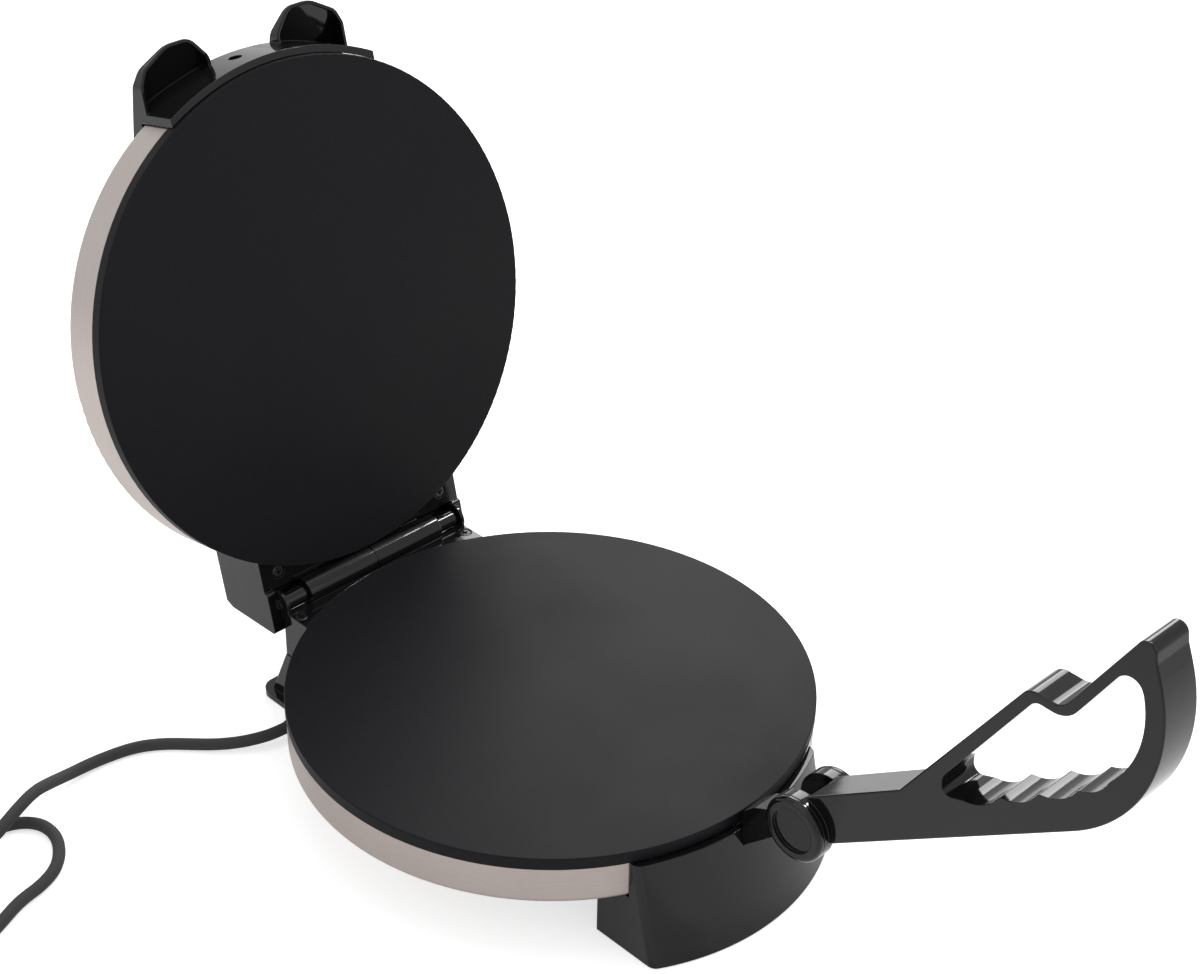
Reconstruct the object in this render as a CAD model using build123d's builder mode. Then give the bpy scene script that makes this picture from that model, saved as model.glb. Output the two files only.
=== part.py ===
from build123d import *

import math
import os

# Electric roti maker: two round cooking plates, the upper one in a hinged lid, and a press handle that
# folds over the closed lid. Millimetres. Every piece is drawn in the frame of a cooking plate: x across,
# y towards the hinge, z away from the lower plate's face. The origin of the model is on the counter.

# ---------------------------------------------------------------- driving dimensions
# Cooking plates
plate_r = 127.0
plate_h = 6.5
plate_t = 4.5
plate_rim_w = 7.0
plate_edge_r = 0.6
plate_gap = 0.4
face_above_counter = 59.0
plate_behind_origin = 50.0

# Steel drums behind the plates
band_inset = 0.5
base_band_h = 19.8
lid_band_h = 21.6
sheet_t = 0.8
drum_edge_r = 3.0
lip_w = 6.0
floor_in = 43.0
cover_overlap = 6.0
cover_t = 1.2
vent_r = 2.0
vent_ring_r = 55.0

# Heating parts
element_ring_r = 82.0
element_r = 3.3
element_gap_deg = 40.0
terminal_r = 2.2
terminal_l = 7.5
boss_r = 5.5
boss_neck_r = 4.0
base_boss_in = 27.0
lid_boss_in = 15.0
shield_depth = 14.5
shield_t = 0.6
shield_in = 9.0
thermostat_r = 9.0
thermostat_h = 8.5
thermostat_ear_w = 8.0
thermostat_ear_d = 5.0
thermostat_ear_t = 1.0
thermostat_ear_out = 2.0
thermostat_ear_z = 3.0
fuse_r = 2.2
fuse_l = 12.0
fuse_y = 25.0
block_w = 30.0
block_d = 14.0
block_h = 8.0
block_y = 45.0

# Hinge and open angle
open_angle = 102.9
hinge_behind = 7.8
hinge_z = 1.9
rod_r = 2.5
barrel_r = 7.5
barrel_in = 15.6
barrel_groove_w = 0.8
barrel_groove_d = 0.5
deck_half_w = 58.6
deck_z = -0.5
deck_before_hinge = 3.8
deck_wall = 3.0
deck_t = 3.4
deck_screw_in = 4.1
deck_screw_before_hinge = 12.3
deck_screw_sink = 2.4
lug_r = 4.8
window_half_w = 7.0
window_d = 20.0

# Lid brackets
cheek_t = 5.1
cheek_gap = 0.3
cheek_front_z = 2.0
cheek_behind_hinge = 14.8
cheek_round_r = 1.5
cheek_heel_in = 2.6
hump_top_z = 41.0
hump_before_hinge = 48.8
hump_wall = 2.4
face_front_z = 4.0
skirt_t = 4.0
skirt_gap = 0.2
skirt_half_w = 60.3
skirt_low_z = 2.0
flange_t = 2.0
ear_back_z = 28.6
ear_back_angle = 19.2
back_block_in = 27.0
pad_wall = 2.4
ear_root_in = 21.0
ear_gap_half_w = 19.8
ear_out = 18.2
ear_inner_out = 7.0
ear_outer_out = 10.0
ear_foot_out = 2.5
ear_inner_run = 9.2
ear_outer_run = 17.8
ear_outer_in = 3.4
ear_rim_z = 22.0
ear_wall = 1.6
front_screw_x = -9.4
front_screw_z = 16.8
hump_front_slope = 16.0
hump_behind_hinge = 8.2
hump_top_behind_hinge = 5.2
hump_rear_drop = 4.5
hump_low_z = 13.0
hump_screw_z = 30.5
face_screw_in = 5.2
face_screw_sink = 2.4
face_screw_l = 8.0
face_screw_off_plate = 3.77223
lamp_r = 4.0
lamp_lip = 0.8
lamp_x = 22.0
lamp_before_hinge = 12.8

# Feet
foot_half_w = 59.0
foot_in = 34.0
foot_wall = 2.6
foot_ground_in = 10.0
foot_ground_y = 27.3
foot_ledge = 3.7
foot_corner_r = 5.0
foot_lift = 0.6
rear_ground_out = 17.0
rear_screw_x = 22.0
rear_lean = 1.0
rear_screw_in = 19.0
tab_h = 3.4
tab_out = 4.3
tab_front_in = 13.0
tab_rear_out = 23.5
tab_corner_r = 8.0
pad_r = 6.5
pad_h = 2.0
pad_boss_wall = 1.0
pad_x = 42.0
pad_in = 13.0

# Press handle and its pivot
pivot_out = 39.4
pivot_z = 21.1
handle_angle = 35.0
handle_half_w = 10.35
fork_half_w = 16.6
fork_r = 15.7
fork_edge_r = 2.4
fork_slot_r = 16.8
knuckle_r = 8.5
neck_half_w = 7.2
neck_t = 14.7
neck_angle = 43.0
neck_low_out = 5.9
neck_low_z = -13.9
neck_full_l = 20.0
neck_taper_l = 38.0
neck_end_t = 9.2
slot_gap = 0.6
tang_screw_x = 11.0
tang_t = 3.4
tang_foot_half_w = 16.0
tang_foot_l = 22.0
tang_foot_t = 4.0
pivot_pin_r = 3.0
cap_t = 3.6
cap_face_r = 10.9
cap_recess = 1.5
cap_spigot_r = 6.0
cap_spigot_l = 3.0
fork_gap = 0.25
grip_edge_r = 0.8

# Screws
screw_r = 1.9
screw_head_r = 3.4
screw_head_h = 2.2
screw_l = 12.0
screw_in_boss = 11.0
cover_screw_l = 6.0
screw_bite = 4.0

# Mains cord and plug
cord_r = 3.0
relief_in = 17.2
relief_up = 8.0
relief_l = 17.5
relief_r = 5.2
relief_tip_r = 3.3
relief_neck_r = 4.2
coil_r = 30.0
coil_w = 12.4
coil_h = 11.4
coil_centre = (-285.0, 190.0)
plug_l = 46.0
plug_w = 15.0
plug_r = 15.0
plug_round_r = 6.0
plug_relief_l = 20.0
plug_pin_drop = 7.0
plug_earth_rise = 10.0
plug_pin_r = 2.5
plug_earth_r = 3.5
plug_pin_l = 15.0
plug_earth_l = 20.0
plug_pin_pitch = 19.0

# Clearances
running = 0.05
part_gap = 0.15
moving_gap = 0.5

# ---------------------------------------------------------------- derived places
floor_r = plate_r - floor_in
base_boss_ring_r = plate_r - base_boss_in
lid_boss_ring_r = plate_r - lid_boss_in
shield_r = plate_r - shield_in
hinge_y = plate_r + hinge_behind
barrel_half_w = deck_half_w - barrel_in
deck_rear_y = hinge_y - deck_before_hinge
deck_screw_x = deck_half_w - deck_screw_in
deck_screw_y = hinge_y - deck_screw_before_hinge
cheek_low_y = hinge_y + cheek_behind_hinge
hump_front_y = hinge_y - hump_before_hinge
hump_rear_y = hinge_y + hump_behind_hinge
hump_rear_top_y = hinge_y + hump_top_behind_hinge
face_screw_x = deck_half_w - face_screw_in
face_screw_y = math.sqrt(plate_r**2 - face_screw_x**2) + face_screw_off_plate
lamp_y = hinge_y - lamp_before_hinge
pad_in_y = plate_r - back_block_in
ear_root_y = plate_r - ear_root_in
foot_inner_y = plate_r - foot_in
foot_ground_r = plate_r - foot_ground_in
rear_ground_y = plate_r + rear_ground_out
rear_screw_y = plate_r - rear_screw_in
tab_half_w = foot_half_w + tab_out
tab_front_y = plate_r - tab_front_in
tab_rear_y = plate_r + tab_rear_out
pad_y = plate_r - pad_in
pivot_y = -(plate_r + pivot_out)
neck_low_y = -(plate_r + neck_low_out)
fork_slot_half_w = neck_half_w + fork_gap
relief_y = plate_r - relief_in
band_r = plate_r - band_inset
skirt_in_r = plate_r + skirt_gap
skirt_out_r = plate_r + skirt_t
base_floor = plate_h + base_band_h
lid_floor = plate_h + lid_band_h
counter_z = -face_above_counter
relief_z = counter_z + relief_up
foot_low_z = counter_z + foot_lift
foot_top_z = -plate_h + 0.1
foot_ceiling_z = -base_floor
hinge_in_lid_z = hinge_z - plate_gap
cheek_in_x = deck_half_w + cheek_gap
cheek_out_x = cheek_in_x + cheek_t
window_x = barrel_half_w + window_half_w
lug_half_w = window_half_w - 2 * moving_gap
screw_hole_r = screw_r + running

base = Plane(origin=(0, plate_behind_origin, face_above_counter))
# The same frame turned half a turn about y, so that its z points down from the lower plate's face.
under = Plane(origin=base.origin, x_dir=(-1, 0, 0), z_dir=(0, 0, -1))
hinge = Plane(origin=base.from_local_coords((0, hinge_y, hinge_z)))
opened = hinge.rotated((-open_angle, 0, 0))
# The lid's frame: z points out of the lid, away from the lower plate when the lid is shut.
lid = Plane(
    origin=opened.from_local_coords((0, -hinge_y, -hinge_in_lid_z)),
    x_dir=opened.x_dir,
    z_dir=opened.z_dir,
)
pivot = Plane(origin=base.from_local_coords((0, pivot_y, pivot_z)))


def upright(frame, x=0.0):
    """The plane across x of a frame: its own axes are the frame's y and z."""
    return Plane(
        origin=frame.from_local_coords((x, 0, 0)), x_dir=frame.y_dir, z_dir=frame.x_dir
    )


def save(piece, name):
    """Label a finished piece and write it as one STEP file."""
    piece.label = name
    export_step(piece, f"parts/{name}.step")
    print(name, round(piece.volume))


os.makedirs("parts", exist_ok=True)


# ---------------------------------------------------------------- plates, drums and heating parts
def ring_points(radius, angles):
    """Points on a circle about the plate's axis."""
    return [(radius * math.cos(math.radians(a)), radius * math.sin(math.radians(a))) for a in angles]


base_boss_points = ring_points(base_boss_ring_r, (0, 120, 240))
lid_boss_points = ring_points(lid_boss_ring_r, (-102, -78, 62, 118))
# The terminals stand on the ring, their own width inside its two ends.
terminal_deg = element_gap_deg / 2 + math.degrees(1.2 * terminal_r / element_ring_r)
gap_degs = (90 - element_gap_deg / 2, 90 + element_gap_deg / 2)
terminal_points = ring_points(element_ring_r, (90 - terminal_deg, 90 + terminal_deg))


def cooking_plate(face, depth, bosses):
    """A cast plate with a rim and mounting bosses on its back that reach to depth."""
    with BuildPart() as plate:
        with BuildSketch(face):
            Circle(plate_r)
        extrude(amount=plate_h)
        fillet(plate.edges(), radius=plate_edge_r)
        with BuildSketch(face.offset(plate_h)):
            Circle(plate_r - plate_rim_w)
        extrude(amount=plate_t - plate_h, mode=Mode.SUBTRACT)
        with BuildSketch(face.offset(plate_t)):
            with Locations(*bosses):
                Circle(boss_r)
        extrude(amount=shield_depth - plate_t)
        with BuildSketch(face.offset(shield_depth)):
            with Locations(*bosses):
                Circle(boss_neck_r)
        extrude(amount=depth - sheet_t - shield_depth)
        with BuildSketch(face.offset(depth - sheet_t)):
            with Locations(*bosses):
                Circle(screw_hole_r)
        extrude(amount=-screw_l, mode=Mode.SUBTRACT)
    return plate.part


def drum(face, depth, hole_r, holes):
    """A pressed steel drum: a lip under the plate's rim, the band, a rounded edge and the floor."""
    outer = band_r
    corner = math.sqrt(0.5)
    inner_edge_r = drum_edge_r - sheet_t
    with BuildPart() as shell:
        with BuildSketch(upright(face)):
            with BuildLine():
                Polyline(
                    (outer, depth - drum_edge_r),
                    (outer, plate_h),
                    (outer - lip_w, plate_h),
                    (outer - lip_w, plate_h + sheet_t),
                    (outer - sheet_t, plate_h + sheet_t),
                    (outer - sheet_t, depth - drum_edge_r),
                )
                ThreePointArc(
                    (outer - sheet_t, depth - drum_edge_r),
                    (
                        outer - drum_edge_r + inner_edge_r * corner,
                        depth - drum_edge_r + inner_edge_r * corner,
                    ),
                    (outer - drum_edge_r, depth - sheet_t),
                )
                Polyline(
                    (outer - drum_edge_r, depth - sheet_t),
                    (hole_r, depth - sheet_t),
                    (hole_r, depth),
                    (outer - drum_edge_r, depth),
                )
                ThreePointArc(
                    (outer - drum_edge_r, depth),
                    (
                        outer - drum_edge_r + drum_edge_r * corner,
                        depth - drum_edge_r + drum_edge_r * corner,
                    ),
                    (outer, depth - drum_edge_r),
                )
            make_face()
        revolve(axis=Axis(face.origin, face.z_dir))
        with BuildSketch(face.offset(depth)):
            with Locations(*holes):
                Circle(screw_hole_r)
        extrude(amount=-sheet_t, mode=Mode.SUBTRACT)
    return shell.part


def heating_element(face):
    """A tubular ring against the plate's back, open towards the hinge, with two straight terminals."""
    ring_z = plate_t + element_r
    with BuildPart() as element:
        with BuildSketch(upright(face)):
            with Locations((element_ring_r, ring_z)):
                Circle(element_r)
        revolve(axis=Axis(face.origin, face.z_dir))
        with BuildSketch(face.offset(plate_t)):
            Polygon((0, 0), *ring_points(plate_r, gap_degs), align=None)
        extrude(amount=2 * element_r, mode=Mode.SUBTRACT)
        with BuildSketch(face.offset(ring_z)):
            with Locations(*terminal_points):
                Circle(terminal_r)
        extrude(amount=terminal_l)
    return element.part


def heat_shield(face, bosses):
    """A thin disc on the shoulders of the bosses, with holes for the element's terminals."""
    with BuildPart() as shield:
        with BuildSketch(face.offset(shield_depth)):
            Circle(shield_r)
            with Locations(*bosses):
                Circle(boss_neck_r + part_gap, mode=Mode.SUBTRACT)
            with Locations(*terminal_points):
                Circle(terminal_r + 2.0, mode=Mode.SUBTRACT)
        extrude(amount=shield_t)
    return shield.part


def screw(seat, length):
    """A pan-head screw: its head stands on the seat plane and its shank goes the other way."""
    with BuildPart() as body:
        with BuildSketch(seat):
            Circle(screw_head_r)
        extrude(amount=screw_head_h)
        fillet(body.edges().filter_by(GeomType.CIRCLE).sort_by(Axis(seat.origin, seat.z_dir))[-1], 0.8)
        with BuildSketch(seat):
            Circle(screw_r)
        extrude(amount=-length)
        with BuildSketch(seat.offset(screw_head_h)):
            Rectangle(screw_head_r * 1.1, 0.9)
            Rectangle(0.9, screw_head_r * 1.1)
        extrude(amount=-1.2, mode=Mode.SUBTRACT)
    return body.part


def screws(frame, height, points, length):
    """Identical screws whose heads stand at one height of a frame."""
    return Compound(
        children=[
            screw(Plane(frame.from_local_coords((x, y, height)), x_dir=frame.x_dir, z_dir=frame.z_dir), length)
            for x, y in points
        ]
    )


save(cooking_plate(under, base_floor, base_boss_points), "lower_plate")
save(heating_element(under), "lower_element")
save(heat_shield(under, base_boss_points), "lower_heat_shield")
save(screws(under, base_floor, base_boss_points, screw_in_boss), "base_drum_screws")

with BuildPart() as thermostat:
    with BuildSketch(under.offset(plate_t)):
        Circle(thermostat_r)
    extrude(amount=thermostat_h)
    with BuildSketch(under.offset(plate_t + thermostat_ear_z)):
        with GridLocations(2 * (thermostat_r + thermostat_ear_out), 0, 2, 1):
            Rectangle(thermostat_ear_w, thermostat_ear_d)
    extrude(amount=thermostat_ear_t)
save(thermostat.part, "thermostat")

with BuildPart() as thermal_fuse:
    with BuildSketch(upright(under, -fuse_l / 2)):
        with Locations((fuse_y, plate_t + fuse_r)):
            Circle(fuse_r)
    extrude(amount=fuse_l)
save(thermal_fuse.part, "thermal_fuse")

cover_r = floor_r + cover_overlap
cover_screw_points = ring_points(floor_r + cover_overlap / 2, (15, 105, 195, 285))
with BuildPart() as bottom_cover:
    with BuildSketch(under.offset(base_floor)):
        Circle(cover_r)
        with Locations(*cover_screw_points):
            Circle(screw_hole_r, mode=Mode.SUBTRACT)
        with PolarLocations(vent_ring_r, 12):
            Circle(vent_r, mode=Mode.SUBTRACT)
    extrude(amount=cover_t)
save(bottom_cover.part, "bottom_cover")
save(screws(under, base_floor + cover_t, cover_screw_points, cover_screw_l), "cover_screws")

with BuildPart() as terminal_block:
    with BuildSketch(under.offset(base_floor)):
        with Locations((0, block_y)):
            Rectangle(block_w, block_d)
    extrude(amount=-block_h)
    fillet(terminal_block.edges().filter_by(Axis.Z), radius=1.5)
    with BuildSketch(under.offset(base_floor - block_h)):
        with Locations((0, block_y)):
            with GridLocations(10.0, 0, 3, 1):
                Circle(2.2)
    extrude(amount=4.0, mode=Mode.SUBTRACT)
save(terminal_block.part, "terminal_block")

save(cooking_plate(lid, lid_floor, lid_boss_points), "upper_plate")
save(heating_element(lid), "upper_element")
save(heat_shield(lid, lid_boss_points), "upper_heat_shield")


# ---------------------------------------------------------------- feet
def foot_block(front, inset):
    """The drafted block of a foot; front is -1 for the front foot and 1 for the rear one."""
    arcs = (
        (foot_low_z, foot_ground_r, foot_ground_y),
        (foot_top_z, plate_r + foot_ledge, 0.0),
    )
    half_w = foot_half_w - inset
    inner_y = front * (foot_inner_y + inset)
    with BuildPart() as block:
        for height, radius, centre_y in arcs:
            arc_r = radius - inset
            side_y = front * (centre_y + math.sqrt(arc_r**2 - half_w**2))
            with BuildSketch(base.offset(height)):
                with BuildLine():
                    Polyline((half_w, side_y), (half_w, inner_y), (-half_w, inner_y), (-half_w, side_y))
                    ThreePointArc((-half_w, side_y), (0, front * (centre_y + arc_r)), (half_w, side_y))
                make_face()
        loft(ruled=True)
        upright_edges = block.edges().filter_by(
            lambda edge: abs((edge @ 0).Z - (edge @ 1).Z) > face_above_counter / 2
        )
        corners = upright_edges.sort_by(Axis.Y)[:2] if front < 0 else upright_edges.sort_by(Axis.Y)[-2:]
        fillet(corners, radius=max(foot_corner_r - inset, 1.0))
    return block.part


def pad_points(front):
    """The places of a foot's two rubber pads."""
    return [(pad_x, front * pad_y), (-pad_x, front * pad_y)]


pad_top_z = counter_z + pad_h


def foot_hollow(front):
    """The room inside a foot, open below and closed by the ceiling under the drum."""
    with BuildPart() as hollow:
        add(foot_block(front, foot_wall))
        split(bisect_by=base.offset(foot_ceiling_z - foot_wall), keep=Keep.BOTTOM)
    return hollow.part


# The slot in the front foot's ledge that holds the neck, and the neck itself, share these places.
slot_in_y = -(plate_r + slot_gap)
slot_out_y = slot_in_y - tang_t
neck_along = (-math.cos(math.radians(neck_angle)), math.sin(math.radians(neck_angle)))
neck_across = (neck_along[1], -neck_along[0])
neck_pivot_l = (pivot_y - neck_low_y) * neck_along[0] + (pivot_z - neck_low_z) * neck_along[1]
neck_top_y = -(skirt_out_r + moving_gap)
tang_top_z = -9.0
ceiling_low_z = foot_ceiling_z - foot_wall
tang_screw_points = [(tang_screw_x, slot_in_y + tang_foot_l / 2), (-tang_screw_x, slot_in_y + tang_foot_l / 2)]


def neck_point(along, across):
    """A point of the neck's side outline, from where its lower line starts."""
    return (
        neck_low_y + along * neck_along[0] + across * neck_across[0],
        neck_low_z + along * neck_along[1] + across * neck_across[1],
    )


def low_line(y, drop=0.0):
    """The point of the neck's lower line, or of a line a little under it, at y."""
    return (y, neck_low_z - drop + (y - neck_low_y) * neck_along[1] / neck_along[0])


with BuildPart() as front_foot:
    add(foot_block(-1, 0.0))
    with BuildSketch(base.offset(foot_ceiling_z)):
        Circle(skirt_in_r)
    extrude(amount=base_floor, mode=Mode.SUBTRACT)
    add(foot_hollow(-1), mode=Mode.SUBTRACT)
    with BuildSketch(base.offset(pad_top_z)):
        with Locations(*pad_points(-1)):
            Circle(pad_r + pad_boss_wall)
    extrude(amount=ceiling_low_z - pad_top_z)
    with BuildSketch(upright(base, -neck_half_w - part_gap)):
        with BuildLine():
            Polyline(
                (slot_in_y + 1.0, ceiling_low_z),
                (slot_out_y - part_gap, ceiling_low_z),
                low_line(slot_out_y - part_gap, part_gap),
                low_line(slot_out_y - foot_wall - tang_foot_l / 2, part_gap),
                (slot_out_y - foot_wall - tang_foot_l / 2, hinge_z),
                (slot_in_y + 1.0, hinge_z),
                close=True,
            )
        make_face()
    extrude(amount=2 * (neck_half_w + part_gap), mode=Mode.SUBTRACT)
    with BuildSketch(base.offset(foot_ceiling_z)):
        with Locations(*tang_screw_points):
            Circle(screw_hole_r)
    extrude(amount=-foot_wall, mode=Mode.SUBTRACT)
save(front_foot.part, "front_foot")

with BuildPart() as pivot_arm:
    with BuildSketch(upright(base, -neck_half_w)):
        with BuildLine():
            Polyline(
                (slot_out_y, ceiling_low_z),
                low_line(slot_out_y),
                neck_point(neck_pivot_l, 0.0),
                neck_point(neck_pivot_l, knuckle_r),
                neck_point(neck_taper_l, neck_end_t),
                neck_point(neck_full_l, neck_t),
                low_line(neck_top_y, -neck_t / neck_across[1]),
                (neck_top_y, tang_top_z),
                (slot_in_y, tang_top_z),
                (slot_in_y, ceiling_low_z),
                close=True,
            )
        make_face()
        with Locations((pivot_y, pivot_z)):
            Circle(knuckle_r)
    extrude(amount=2 * neck_half_w)
    with BuildSketch(base.offset(ceiling_low_z)):
        with Locations((0, (slot_out_y + slot_in_y + tang_foot_l) / 2)):
            Rectangle(2 * tang_foot_half_w, slot_in_y + tang_foot_l - slot_out_y)
        with Locations(*tang_screw_points):
            Circle(screw_hole_r, mode=Mode.SUBTRACT)
    extrude(amount=-tang_foot_t)
    with BuildSketch(upright(base, -neck_half_w)):
        with Locations((pivot_y, pivot_z)):
            Circle(pivot_pin_r + running)
    extrude(amount=2 * neck_half_w, mode=Mode.SUBTRACT)
save(pivot_arm.part, "pivot_arm")

tang_screw_l = tang_foot_t + foot_wall + sheet_t + screw_bite
save(screws(under, -(ceiling_low_z - tang_foot_t), tang_screw_points, tang_screw_l), "pivot_arm_screws")

rear_screw_points = [(rear_screw_x, rear_screw_y), (-rear_screw_x, rear_screw_y)]
with BuildPart() as rear_foot:
    with BuildSketch(upright(base, -foot_half_w)):
        with BuildLine():
            Polyline(
                (foot_inner_y, foot_low_z),
                (rear_ground_y, foot_low_z),
                (rear_ground_y, foot_low_z + tab_h),
                (deck_rear_y, foot_ceiling_z),
                (foot_inner_y, foot_ceiling_z),
                close=True,
            )
        make_face()
    extrude(amount=2 * foot_half_w)
    with BuildSketch(base.offset(foot_low_z)) as tab:
        with Locations((0, (tab_front_y + tab_rear_y) / 2)):
            Rectangle(2 * tab_half_w, tab_rear_y - tab_front_y)
        fillet(tab.vertices(), radius=tab_corner_r)
    extrude(amount=tab_h)
    with BuildSketch(upright(base, foot_wall - foot_half_w)):
        with BuildLine():
            Polyline(
                (foot_inner_y + foot_wall, foot_low_z),
                (rear_ground_y - foot_wall, foot_low_z),
                (deck_rear_y - foot_wall - rear_lean, ceiling_low_z),
                (foot_inner_y + foot_wall, ceiling_low_z),
                close=True,
            )
        make_face()
    extrude(amount=2 * (foot_half_w - foot_wall), mode=Mode.SUBTRACT)
    with BuildSketch(base.offset(pad_top_z)):
        with Locations(*pad_points(1)):
            Circle(pad_r + pad_boss_wall)
    extrude(amount=ceiling_low_z - pad_top_z)
    with BuildSketch(base.offset(foot_ceiling_z)):
        with Locations(*rear_screw_points):
            Circle(screw_hole_r)
    extrude(amount=-foot_wall, mode=Mode.SUBTRACT)
    with BuildSketch(upright(base, -foot_half_w)):
        with Locations((relief_y, relief_z)):
            Circle(relief_neck_r + part_gap)
    extrude(amount=foot_wall, mode=Mode.SUBTRACT)
save(rear_foot.part, "rear_foot")
save(screws(under, -ceiling_low_z, rear_screw_points, foot_wall + sheet_t + screw_bite), "rear_foot_screws")

with BuildPart() as foot_pads:
    with BuildSketch(base.offset(counter_z)):
        with Locations(*pad_points(-1), *pad_points(1)):
            Circle(pad_r)
    extrude(amount=pad_h)
save(foot_pads.part, "foot_pads")

floor_holes = base_boss_points + tang_screw_points + rear_screw_points + cover_screw_points
save(drum(under, base_floor, floor_r, floor_holes), "base_drum")

# ---------------------------------------------------------------- hinge
rod_hole_r = rod_r + running
deck_screw_points = [(deck_screw_x, deck_screw_y), (-deck_screw_x, deck_screw_y)]
post_in_x = window_x + window_half_w
post_w = deck_half_w - post_in_x

with BuildPart() as base_hinge_bracket:
    with BuildSketch(base.offset(foot_ceiling_z)):
        with Locations((0, (foot_inner_y + deck_rear_y) / 2)):
            Rectangle(2 * deck_half_w, deck_rear_y - foot_inner_y)
        Circle(skirt_in_r, mode=Mode.SUBTRACT)
    extrude(amount=deck_z - foot_ceiling_z)
    with BuildSketch(base.offset(foot_ceiling_z)):
        with Locations((0, (foot_inner_y + deck_rear_y) / 2)):
            Rectangle(2 * (deck_half_w - deck_wall), deck_rear_y - foot_inner_y - 2 * deck_wall)
        Circle(skirt_in_r + deck_wall, mode=Mode.SUBTRACT)
        with Locations(*deck_screw_points):
            Circle(screw_head_r + 2.0, mode=Mode.SUBTRACT)
    extrude(amount=deck_z - foot_ceiling_z - deck_t, mode=Mode.SUBTRACT)
    for low_x, width, radius in (
        (-deck_half_w, post_w, barrel_r),
        (-barrel_half_w, barrel_half_w - barrel_groove_w / 2, barrel_r),
        (-barrel_groove_w / 2, barrel_groove_w, barrel_r - barrel_groove_d),
        (barrel_groove_w / 2, barrel_half_w - barrel_groove_w / 2, barrel_r),
        (post_in_x, post_w, barrel_r),
    ):
        with BuildSketch(upright(base, low_x)):
            with Locations((hinge_y, hinge_z)):
                Circle(radius)
        extrude(amount=width)
    for centre_x in (-window_x, window_x):
        with BuildSketch(upright(base, centre_x - window_half_w)):
            with Locations((hinge_y - lug_r - moving_gap, hinge_z - lug_r - moving_gap)):
                Rectangle(window_d, window_d, align=(Align.MIN, Align.MIN))
        extrude(amount=2 * window_half_w, mode=Mode.SUBTRACT)
    with BuildSketch(upright(base, -deck_half_w)):
        with Locations((hinge_y, hinge_z)):
            Circle(rod_hole_r)
    extrude(amount=2 * deck_half_w, mode=Mode.SUBTRACT)
    with BuildSketch(base.offset(deck_z)):
        with Locations(*deck_screw_points):
            Circle(screw_head_r + part_gap)
    extrude(amount=-deck_screw_sink, mode=Mode.SUBTRACT)
    with BuildSketch(base.offset(deck_z - deck_screw_sink)):
        with Locations(*deck_screw_points):
            Circle(screw_hole_r)
    extrude(amount=-screw_l, mode=Mode.SUBTRACT)
save(base_hinge_bracket.part, "base_hinge_bracket")
save(screws(base, deck_z - deck_screw_sink, deck_screw_points, screw_in_boss), "deck_screws")

with BuildPart() as hinge_rod:
    with BuildSketch(upright(base, -deck_half_w)):
        with Locations((hinge_y, hinge_z)):
            Circle(rod_r)
    extrude(amount=2 * deck_half_w)
save(hinge_rod.part, "hinge_rod")

# ---------------------------------------------------------------- lid
front_screw_seat = Plane(
    lid.from_local_coords((front_screw_x, -band_r, front_screw_z)), x_dir=lid.x_dir, z_dir=-lid.y_dir
)
with BuildPart() as lid_drum:
    add(drum(lid, lid_floor, vent_r, lid_boss_points))
    with BuildSketch(front_screw_seat):
        Circle(screw_hole_r)
    extrude(amount=-2 * drum_edge_r, mode=Mode.SUBTRACT)
save(lid_drum.part, "lid_drum")

# The ear's outline across and along the lid, each corner with its rounding.
ear_outline = (
    (ear_gap_half_w, -ear_root_y, 0.5),
    (ear_gap_half_w, -(plate_r + ear_inner_out), 8.0),
    (ear_gap_half_w + ear_inner_run, -(plate_r + ear_out), 8.0),
    (skirt_half_w - ear_outer_run, -(plate_r + ear_out), 14.0),
    (skirt_half_w - ear_outer_in, -(plate_r + ear_outer_out), 8.0),
    (skirt_half_w, -(plate_r + ear_foot_out), 6.0),
    (skirt_half_w, -ear_root_y, 0.5),
)
# The slanted back of the ears and of the block behind the lid.
ear_back = Plane(
    origin=lid.from_local_coords((0, -skirt_out_r, ear_back_z)), x_dir=lid.x_dir, z_dir=lid.z_dir
).rotated((ear_back_angle, 0, 0))
above_bracket_z = 2 * lid_floor


def ear(side, inset):
    """One lifting ear, or with an inset the room inside it; side is -1 or 1."""
    with BuildPart() as block:
        with BuildSketch(lid.offset(ear_rim_z)):
            with BuildLine():
                FilletPolyline(
                    [(side * x, y) for x, y, _ in ear_outline],
                    radius=[r for _, _, r in ear_outline],
                    close=True,
                )
            make_face()
            if inset:
                offset(amount=-inset, kind=Kind.INTERSECTION, mode=Mode.REPLACE)
        extrude(amount=above_bracket_z - ear_rim_z)
        split(bisect_by=ear_back.offset(-inset), keep=Keep.BOTTOM)
    return block.part


def back_block(inset, low_z):
    """The skirt and the block behind the lid as one body, or with an inset the room inside."""
    with BuildPart() as block:
        with BuildSketch(lid.offset(low_z)):
            Circle(skirt_out_r - inset)
            with Locations((0, -(skirt_out_r + pad_in_y) / 2)):
                Rectangle(
                    2 * (skirt_half_w - inset), skirt_out_r - pad_in_y - 2 * inset, mode=Mode.INTERSECT
                )
        extrude(amount=above_bracket_z - low_z)
        split(bisect_by=ear_back.offset(-inset), keep=Keep.BOTTOM)
    return block.part


def round_posts(points, radius):
    """Round posts on the lid's drum that reach the slanted back."""
    with BuildPart() as posts:
        with BuildSketch(lid.offset(lid_floor)):
            with Locations(*points):
                Circle(radius)
        extrude(amount=above_bracket_z - lid_floor)
        split(bisect_by=ear_back, keep=Keep.BOTTOM)
    return posts.part


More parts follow.
